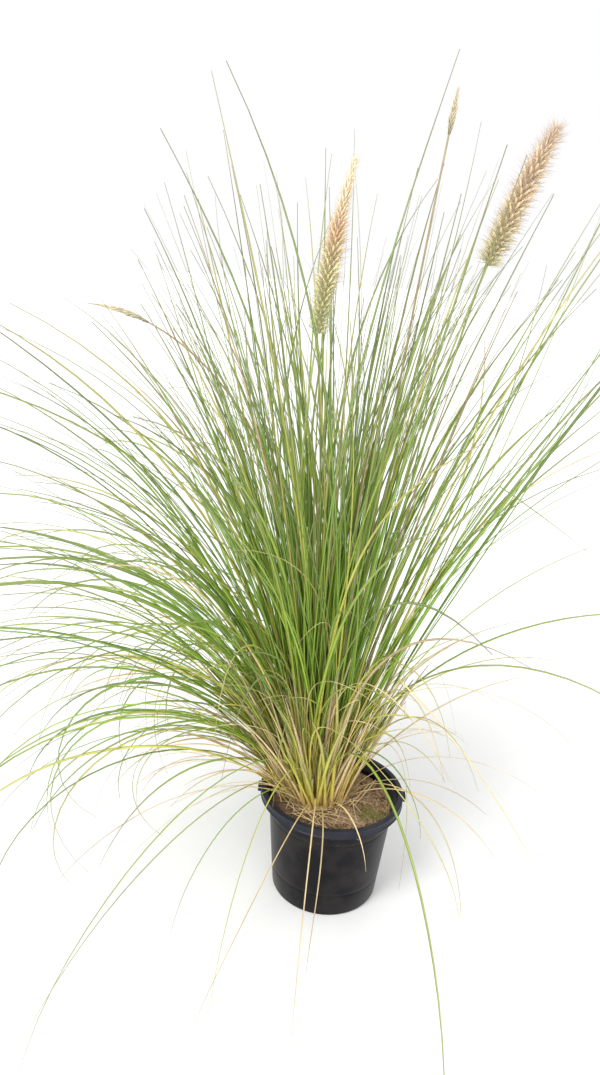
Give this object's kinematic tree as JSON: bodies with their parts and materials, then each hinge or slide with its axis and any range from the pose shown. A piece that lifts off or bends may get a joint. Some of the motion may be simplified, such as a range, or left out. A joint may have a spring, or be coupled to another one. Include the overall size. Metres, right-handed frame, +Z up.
{
  "type": "potted ornamental grass",
  "caption": "Clump of fine arching grass blades with bottlebrush seed heads, growing in a small round nursery pot that stands on its flat base.",
  "frame": {"origin": "middle of the pot's underside, on the surface that the pot stands on", "axes": "+Z up along the pot's axis, -Y the front of the clump, +X its right"},
  "size_m": [0.9537, 1.0014, 0.8873],
  "materials": {
    "pot": "satin black moulded plastic, dusty and scuffed, with a bluish lip",
    "soil": "dry sandy brown growing mix with crumbs, straw litter and a mossy patch",
    "green_blades": "satin leaf, straw at the foot, yellow-green to deep green, grey-olive at the tip",
    "dry_blades": "dull dried leaf, straw to tan with grey-brown tips",
    "flower_stems": "smooth round stem, yellow-green to straw",
    "seed_heads": "dense fine bristles, green-yellow through tan and peach to cream"
  },
  "bodies": {
    "root": {"pot": "pot", "soil": "soil", "tuft_inner_1": "green_blades", "tuft_inner_2": "green_blades", "tuft_inner_3": "green_blades", "tuft_inner_4": "green_blades", "tuft_inner_5": "green_blades", "tuft_middle_1": "green_blades", "tuft_middle_2": "green_blades", "tuft_middle_3": "green_blades", "tuft_middle_4": "green_blades", "tuft_middle_5": "green_blades", "tuft_middle_6": "green_blades", "tuft_middle_7": "green_blades", "tuft_middle_8": "green_blades", "tuft_outer_1": "green_blades", "tuft_outer_2": "green_blades", "tuft_outer_3": "green_blades", "tuft_outer_4": "green_blades", "tuft_outer_5": "green_blades", "tuft_outer_6": "green_blades", "tuft_outer_7": "green_blades", "tuft_outer_8": "green_blades", "tuft_outer_9": "green_blades", "tuft_left_1": "green_blades", "tuft_left_2": "green_blades", "tuft_left_3": "green_blades", "tuft_left_4": "green_blades", "tuft_left_5": "green_blades", "tuft_left_6": "green_blades", "tuft_left_7": "green_blades", "tuft_left_8": "green_blades", "tuft_low_1": "green_blades", "tuft_low_2": "green_blades", "tuft_low_3": "green_blades", "tuft_low_4": "green_blades", "tuft_low_5": "green_blades", "tuft_low_6": "green_blades", "blade_far_left": "green_blades", "blade_straight_left": "green_blades", "blade_short_left": "green_blades", "blade_trailing_right": "green_blades", "blade_arched_right": "green_blades", "blade_low_right": "green_blades", "blade_folded_right": "green_blades", "dry_blade_left": "dry_blades", "dry_blade_crossing": "dry_blades", "dry_blade_front_long": "dry_blades", "dry_blade_front_short": "dry_blades", "dry_blade_lip": "dry_blades", "dry_blade_hook_right": "dry_blades", "dry_blade_fallen_right": "dry_blades", "flower_stem_centre": "flower_stems", "flower_stem_right": "flower_stems", "flower_stem_small": "flower_stems", "flower_stem_left": "flower_stems", "seed_head_centre": "seed_heads", "seed_head_right": "seed_heads", "seed_head_small": "seed_heads", "seed_head_left": "seed_heads"}
  },
  "joints": []
}
